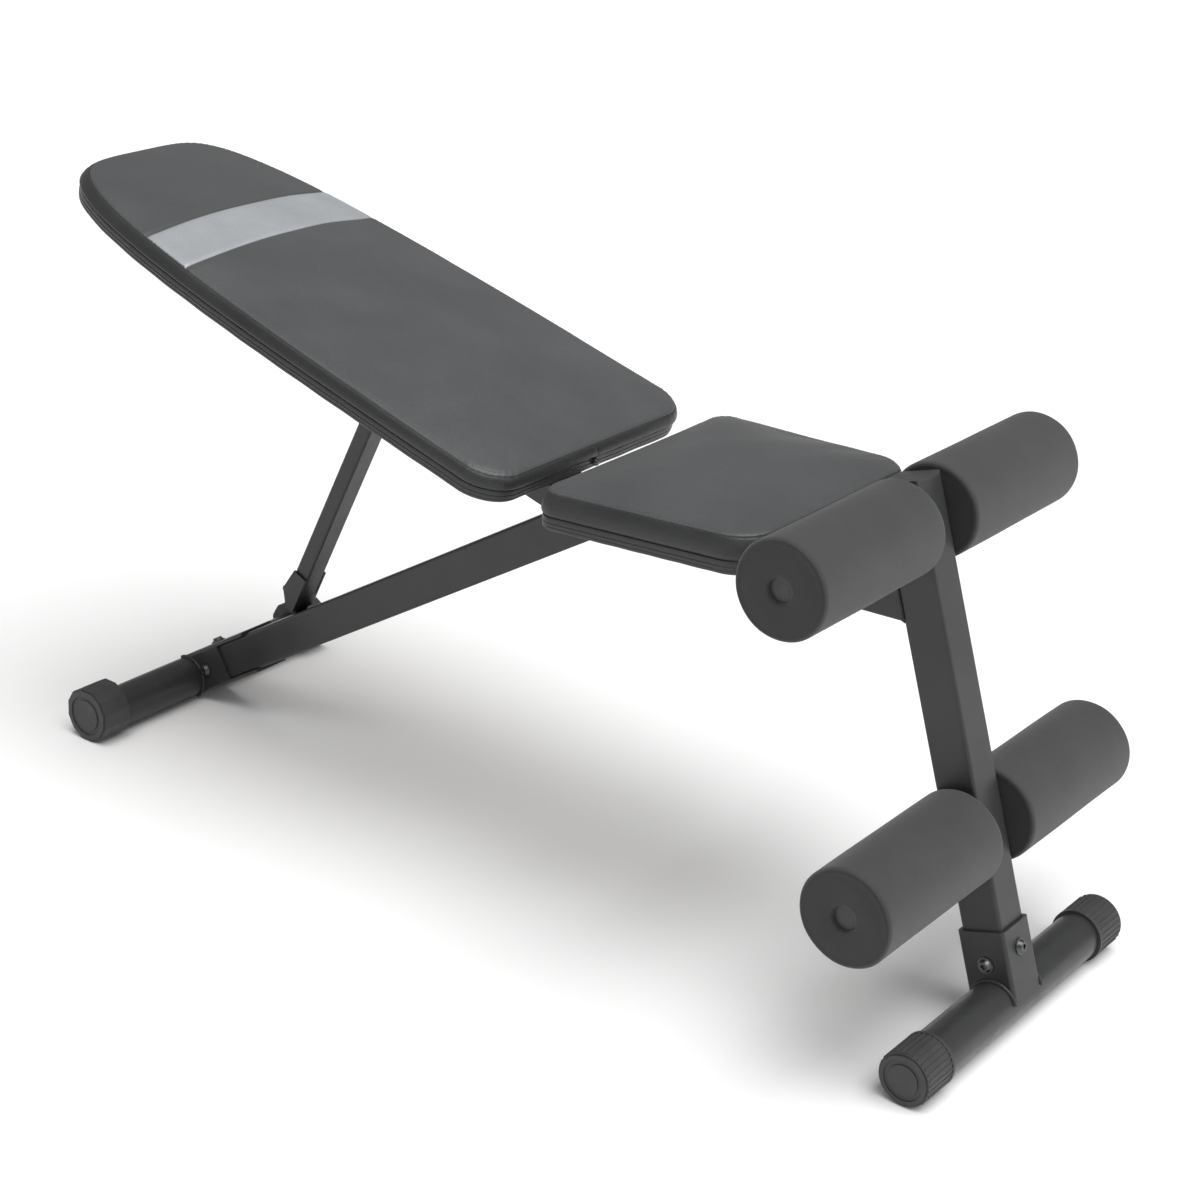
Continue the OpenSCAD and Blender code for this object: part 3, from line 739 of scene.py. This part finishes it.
def tube_along(name, path, radius, material, closed=True, sides=8, swell=None):
    """A round tube swept along a line of points; swell gives a factor on the radius at each point."""
    path = np.asarray(path, float)
    count = len(path)
    ahead = np.roll(path, -1, axis=0)
    behind = np.roll(path, 1, axis=0)
    if not closed:
        ahead[-1] = path[-1]
        behind[0] = path[0]
    tangent = ahead - behind
    tangent /= np.maximum(np.linalg.norm(tangent, axis=1, keepdims=True), 1e-9)
    side = np.cross(tangent, UP)
    weak = np.linalg.norm(side, axis=1) < 1e-3
    side[weak] = np.cross(tangent[weak], [0.0, 1.0, 0.0])
    side /= np.linalg.norm(side, axis=1, keepdims=True)
    over = np.cross(side, tangent)
    size = radius * (np.ones(count) if swell is None else swell)
    turns = np.arange(sides) / sides * tau
    rings = []
    for i in range(count):
        rings += [path[i] + size[i] * (np.cos(t) * side[i] + np.sin(t) * over[i]) for t in turns]
    faces = ring_faces(count, sides, closed=closed)
    if not closed:
        faces += [tuple(range(sides)), tuple(range((count - 1) * sides, count * sides))]
    piece = new_object(name, rings, faces, material)
    weld_doubles(piece)
    return piece


def stitch_row(name, path, normals, pitch, length, radius, material, closed=True):
    """A row of stitches along a line: short bent threads whose ends dive into the surface."""
    path = np.asarray(path, float)
    if closed:
        path = np.vstack([path, path[:1]])
        normals = np.vstack([normals, normals[:1]])
    along = running_length(path)
    total = int(along[-1] / pitch)
    sides = 6
    verts = []
    faces = []
    shape = ((-0.5, -1.2, 0.5), (-0.4, 0.1, 0.95), (0, 0.55, 1), (0.4, 0.1, 0.95), (0.5, -1.2, 0.5))

    def at(distance, values):
        """The values at a distance along the line."""
        return np.array([np.interp(distance, along, values[:, k]) for k in range(3)])

    for n in range(total):
        middle = (n + 0.5) * along[-1] / total
        up = at(middle, normals)
        up /= np.linalg.norm(up)
        forward = at(middle + length / 3, path) - at(middle - length / 3, path)
        forward /= np.linalg.norm(forward)
        across = np.cross(forward, up)
        start = len(verts)
        for share, rise, size in shape:
            centre = at(np.clip(middle + share * length, 0, along[-1]), path) + up * rise * radius
            for k in range(sides):
                turn = tau * k / sides
                verts.append(centre + size * radius * (cos(turn) * across + sin(turn) * up))
        faces += ring_faces(len(shape), sides, first=start)
        last = start + (len(shape) - 1) * sides
        faces += [tuple(range(start, start + sides)), tuple(range(last, last + sides))]
    piece = new_object(name, verts, faces, material)
    weld_doubles(piece)
    return piece


def sew(cushion):
    """The welt that shows in the top seam, and the row of stitches beside it."""
    seam = cushion.ring(cushion.SEAM_ROW).copy()
    seam[:, 2] += 0.15 * MM
    # the welt takes the darker edge vinyl: painted shade along the seam line
    welt = tube_along(cushion.name + "_welt", seam, 0.7 * MM, shaded_edge_look)
    cushion.put(welt)
    row = cushion.ring(cushion.THREAD_ROW)
    inside = cushion.ring(cushion.THREAD_ROW + 1)
    outside = cushion.ring(cushion.THREAD_ROW - 1)
    tangent = np.roll(row, -1, axis=0) - np.roll(row, 1, axis=0)
    normals = np.cross(tangent, outside - inside)
    normals *= np.sign(normals[:, 2:3])
    normals /= np.linalg.norm(normals, axis=1, keepdims=True)
    stitches = stitch_row(
        cushion.name + "_stitches", row, normals, STITCH_PITCH, STITCH_L, THREAD_R, thread_look)
    cushion.put(stitches)


def silver_band(cushion):
    """The silver strip across the backrest, laid on its top panel from seam to seam, with plain edges."""
    rows = 26
    columns = 150
    seam = cushion.ring(cushion.SEAM_ROW + 2)
    upper = seam[seam[:, 1] > 0]
    upper = upper[np.argsort(upper[:, 0])]
    outside = []
    inside = []
    for u in np.linspace(BAND_FROM, BAND_TO, rows):
        reach = np.interp(u, upper[:, 0], upper[:, 1])
        for share in np.linspace(-1, 1, columns):
            point = cushion.height_at(u, reach * share * 0.999)
            to_edge = min(u - BAND_FROM, BAND_TO - u, reach * (1 - abs(share)))
            lift = 0.55 * MM * smooth_step(to_edge / (2.2 * MM)) - 0.15 * MM
            outside.append((u, reach * share, point.z + lift))
            inside.append((u, reach * share, point.z - 0.9 * MM))
    verts = outside + inside
    total = rows * columns
    faces = []
    for i in range(rows - 1):
        for j in range(columns - 1):
            a = i * columns + j
            quad = (a, a + 1, a + columns + 1, a + columns)
            faces.append(quad)
            faces.append(tuple(total + k for k in reversed(quad)))
    rim = list(range(columns))
    rim += [i * columns + columns - 1 for i in range(1, rows)]
    rim += [(rows - 1) * columns + j for j in range(columns - 2, -1, -1)]
    rim += [i * columns for i in range(rows - 2, 0, -1)]
    for i, a in enumerate(rim):
        b = rim[(i + 1) % len(rim)]
        faces.append((a, total + a, total + b, b))
    piece = new_object("silver_band", verts, faces, silver_look)
    weld_doubles(piece)
    cushion.put(piece)
    for label, u in (("lower", BAND_FROM - 2.4 * MM), ("upper", BAND_TO + 2.4 * MM)):
        reach = np.interp(u, upper[:, 0], upper[:, 1]) - 4 * MM
        path = np.array([tuple(cushion.height_at(u, v)) for v in np.linspace(-reach, reach, 90)])
        normals = np.tile(UP, (len(path), 1))
        cushion.put(stitch_row(
            f"band_stitches_{label}", path, normals, STITCH_PITCH, STITCH_L, THREAD_R, thread_look,
            closed=False))


def join_stitches(cushion):
    """Two short upright rows of stitches beside the join in the backrest's seat end."""
    for label, v in (("left", 2.6 * MM), ("right", -2.6 * MM)):
        heights = np.linspace(GROOVE_H + 3 * MM, cushion.seam_h - 2.5 * MM, 12)
        path = []
        for z in heights:
            hit = cushion.surface.ray_cast(Vector((-0.1, v, z)), Vector((1, 0, 0)))
            path.append(tuple(hit[0]))
        normals = np.tile([-1.0, 0.0, 0.0], (len(path), 1))
        cushion.put(stitch_row(
            f"join_stitches_{label}", path, normals, 3.4 * MM, 2.5 * MM, 0.26 * MM, thread_look,
            closed=False))


def staples(cushion):
    """Staples through the turned-under vinyl, all round the board's underside."""
    line = cushion.inset(cushion.board_inset + 17 * MM, WRAP_UNDER)
    step = 11                     # points from one staple to the next, about 34 mm
    clear = 30 * MM               # none this close to the middle of either end
    verts = []
    faces = []
    for i in range(0, cushion.count, step):
        along = np.append(np.array([-cushion.normals[i][1], cushion.normals[i][0]]), 0)
        across = np.append(cushion.normals[i], 0)
        if abs(line[i][1]) < clear:
            continue
        start = len(verts)
        for end, drop in ((-5.5, 0.5), (-5, -0.35), (5, -0.35), (5.5, 0.5)):
            for side, thick in ((-0.6, 0), (0.6, 0), (0.6, 0.5), (-0.6, 0.5)):
                height = UP * (drop - thick) * MM
                verts.append(line[i] + along * end * MM + across * side * MM + height)
        faces += ring_faces(4, 4, first=start)
        faces += [tuple(range(start, start + 4)), tuple(range(start + 12, start + 16))]
    piece = new_object(cushion.name + "_staples", verts, faces, staple_look, smooth=False)
    weld_doubles(piece)
    cushion.put(piece, "bolt_steel")


def sewn_cushion(cushion):
    """Builds, swells and sews one cushion."""
    cushion.build()
    cushion.swell(cloth_shift(cushion))
    sew(cushion)
    edge_wrap(cushion)
    staples(cushion)


def settle_cushion(cushion, pad_node):
    weld_doubles(cushion.piece)
    cushion.put(cushion.piece)
    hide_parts(pad_node)


def cushion_frame(stem, origin, along, normal):
    """A cushion's frame, at its straight end on its board's underside, with its length and width."""
    at_origin = axes_at(origin, along, normal)
    pad_low, pad_high = local_box(f"{stem}_pad", at_origin)
    board_low, _ = local_box(f"{stem}_board", at_origin)
    start = origin + along * pad_low[0] + normal * board_low[2]
    return axes_at(start, along, normal), pad_high[0] - pad_low[0], pad_high[1] - pad_low[1]


def back_axes():
    """Directions along the backrest, towards its head, and square to it, upwards."""
    return Vector((-cos(BACK_RISE), 0, sin(BACK_RISE))), Vector((sin(BACK_RISE), 0, cos(BACK_RISE)))


def make_backrest():
    """The backrest's cushion and all that is sewn to it."""
    hinge = Vector(joints["backrest_hinge"]["pos_m"])
    place, length, width = cushion_frame("back", hinge, *back_axes())
    cushion = BackCushion(
        "back_cushion", place, length, width, back_half(length, width), seam_h=28.5 * MM,
        seam_in=(5 * MM, 10 * MM), crown=(9 * MM, 3 * MM), board_inset=5 * MM, body="backrest")
    sewn_cushion(cushion)
    silver_band(cushion)
    join_stitches(cushion)
    settle_cushion(cushion, "back_pad")


def make_seat():
    """The seat's cushion and all that is sewn to it."""
    along = Vector((cos(SEAT_RISE), 0, sin(SEAT_RISE)))
    normal = Vector((-sin(SEAT_RISE), 0, cos(SEAT_RISE)))
    place, length, width = cushion_frame("seat", Vector((0, 0, 0)), along, normal)
    cushion = Cushion(
        "seat_cushion", place, length, width, seat_half(length, width), seam_h=37 * MM,
        seam_in=(7 * MM, 7 * MM), crown=(8 * MM, 7 * MM), board_inset=4.5 * MM, body="frame")
    sewn_cushion(cushion)
    settle_cushion(cushion, "seat_pad")


# ---------- foam rollers ----------

def make_roller(level, side):
    """One foam roller: a soft barrel with rounded rims, cut end faces and a bore for its axle."""
    node = f"roller_{level}_{side}"
    low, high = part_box(node)
    centre = (low + high) / 2
    radius = (high.x - low.x) / 2
    half = (high.y - low.y) / 2
    bore = AXLE_BORE_R
    rim = ROLLER_RIM
    profile = [(bore, -half + 3 * MM), (bore + 0.6 * MM, -half + 0.9 * MM)]
    profile += [(r, -half + 0.5 * MM * cos(pi * (r - bore) / (radius - bore)) ** 2)
                for r in np.linspace(bore + 2 * MM, radius - rim, 9)]
    cut_rings = len(profile) + 3  # the rings of an end face, with the start of its rim
    profile += [(radius - rim + rim * sin(t), -half + rim - rim * cos(t))
                for t in np.linspace(0.2, pi / 2, 9)]
    profile += [(radius, y) for y in np.linspace(-half + rim, 0, 26)[1:]]
    profile += [(r, -y) for r, y in reversed(profile[:-1])]
    around = 160
    turns = np.arange(around) / around * tau
    phase = {"upper": 0.0, "lower": 2.1}[level] + {"left": 0.0, "right": 1.3}[side]
    verts = []
    for r, y in profile:
        softness = (r / radius) ** 2
        wave = 0.16 * np.sin(3 * turns + phase + y * 21) + 0.10 * np.sin(7 * turns - phase + y * 47)
        size = r - softness * MM * (0.3 + wave)
        across = np.full(around, centre.y + y)
        verts.append(np.column_stack(
            [centre.x + size * np.cos(turns), across, centre.z + size * np.sin(turns)]))
    verts = np.concatenate(verts)
    faces = ring_faces(len(profile), around, closed=True)
    piece = new_object(f"foam_roller_{level}_{side}", verts, faces, foam_look)
    piece.data.materials.append(foam_end_look)
    for face in piece.data.polygons:
        ring = face.index // around
        face.material_index = int(ring < cut_rings or ring >= len(profile) - 1 - cut_rings)
    weld_doubles(piece)
    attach(piece, f"body_{node}")
    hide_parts(node)


# ---------- welds ----------

def weld(name, path, radius, body, closed=False):
    """A rippled weld bead along a line of corner points."""
    points = []
    corners = [Vector(p) for p in path]
    ends = corners[1:] + corners[:1] if closed else corners[1:]
    for a, b in zip(corners, ends):
        steps = max(1, round((b - a).length / (0.8 * MM)))
        points += [a.lerp(b, k / steps) for k in range(steps)]
    if not closed:
        points.append(corners[-1])
    points = np.array(points)
    along = running_length(points)
    ripple = 1 + 0.16 * np.abs(np.sin(pi * along / (3.2 * MM))) + 0.06 * np.sin(along * 370)
    bead = tube_along(name, points, radius, steel_look, closed=closed, sides=10, swell=ripple)
    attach(bead, body)


def foot_welds():
    """Beads where both sockets sit on their foot tubes: an arc on each side."""
    reach = radians(86)
    for end, lean in (("front", -POST_LEAN), ("rear", radians(90) - MAIN_RISE)):
        low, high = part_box(f"{end}_foot_tube")
        centre = (low + high) / 2
        radius = (high.z - low.z) / 2
        half = (TUBE + 7 * MM) / 2
        for side, y in (("left", half + 0.5 * MM), ("right", -half - 0.5 * MM)):
            path = []
            for turn in np.linspace(-reach, reach, 30):
                angle = turn + lean
                path.append((centre.x + (radius + 0.8 * MM) * sin(angle), y,
                             centre.z + (radius + 0.8 * MM) * cos(angle)))
            weld(f"weld_{end}_foot_{side}", path, 2.0 * MM, "frame")


def square_weld(name, place, half, radius, body):
    """A bead round a square tube where it meets the plane at the local frame's origin."""
    c = 4 * MM
    corners = [(half, half - c), (half - c, half), (-half + c, half), (-half, half - c),
               (-half, -half + c), (-half + c, -half), (half - c, -half), (half, -half + c)]
    weld(name, [place @ Vector((x, y, 0)) for x, y in corners], radius, body, closed=True)


def beam_weld():
    """The bead round the seat beam where it butts against the post."""
    _, beam_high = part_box("seat_beam")
    lean = Vector((-sin(POST_LEAN), 0, cos(POST_LEAN)))
    normal = Vector((cos(POST_LEAN), 0, sin(POST_LEAN)))
    axle = (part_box("upper_axle")[0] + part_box("upper_axle")[1]) / 2
    face = axle - normal * (TUBE / 2)
    along = Vector((cos(SEAT_RISE), 0, sin(SEAT_RISE)))
    level = beam_high.z - TUBE / 2
    down = (face.z - level) / lean.z
    centre = face - lean * down
    place = axes_at(centre - along * (0.6 * MM), lean, -normal)
    square_weld("weld_beam_post", place, TUBE / 2, 2.2 * MM, "frame")


def ear_welds():
    """Beads along both strut ears, under the backrest tube."""
    pivot = Vector(joints["strut_pivot"]["pos_m"])
    along, normal = back_axes()
    _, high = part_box("strut_ear_left")
    rise = 14 * MM
    reach = 21 * MM
    for side, sign in (("left", 1), ("right", -1)):
        y = sign * (high.y + 0.4 * MM)
        ends = [pivot + along * x + normal * rise + Vector((0, y, 0)) for x in (-reach, reach)]
        weld(f"weld_ear_{side}", ends, 1.7 * MM, "backrest")


# ---------- stage ----------

def add_area_light(name, place, target, size, power):
    """A soft square light that faces its target."""
    data = bpy.data.lights.new(name, "AREA")
    data.size = size
    data.energy = power
    light = bpy.data.objects.new(name, data)
    light.location = place
    light.rotation_euler = (Vector(target) - Vector(place)).to_track_quat("-Z", "Y").to_euler()
    bpy.context.scene.collection.objects.link(light)


def add_stage():
    """A pale floor, a white surround and soft lights, the strongest overhead."""
    far = 30
    corners = [(-far, -far, 0), (far, -far, 0), (far, far, 0), (-far, far, 0)]
    floor = new_object("studio_floor", corners, [(0, 1, 2, 3)], pale_floor(), smooth=False)
    world = bpy.data.worlds.new("white_surround")
    world.use_nodes = True
    background = world.node_tree.nodes["Background"]
    background.inputs["Color"].default_value = (1, 1, 1, 1)
    background.inputs["Strength"].default_value = 0.30
    bpy.context.scene.world = world
    bpy.context.scene.view_settings.view_transform = "Standard"
    overhead = bpy.data.lights.new("overhead", "SUN")
    overhead.energy = 3.0
    overhead.angle = radians(55)
    lamp = bpy.data.objects.new("overhead", overhead)
    lamp.rotation_euler = (radians(4), radians(16), 0)
    bpy.context.scene.collection.objects.link(lamp)
    add_area_light("front_light", (2.6, 0.6, 1.2), (0, 0, 0.4), 1.6, 14)
    add_area_light("side_light", (-0.6, -3.2, 1.0), (0, 0, 0.3), 2.0, 7)


add_camera()
add_stage()
dress_cad_nodes()
make_backrest()
make_seat()
for roller_level in ("upper", "lower"):
    for roller_side in ("left", "right"):
        make_roller(roller_level, roller_side)
foot_welds()
beam_weld()
ear_welds()
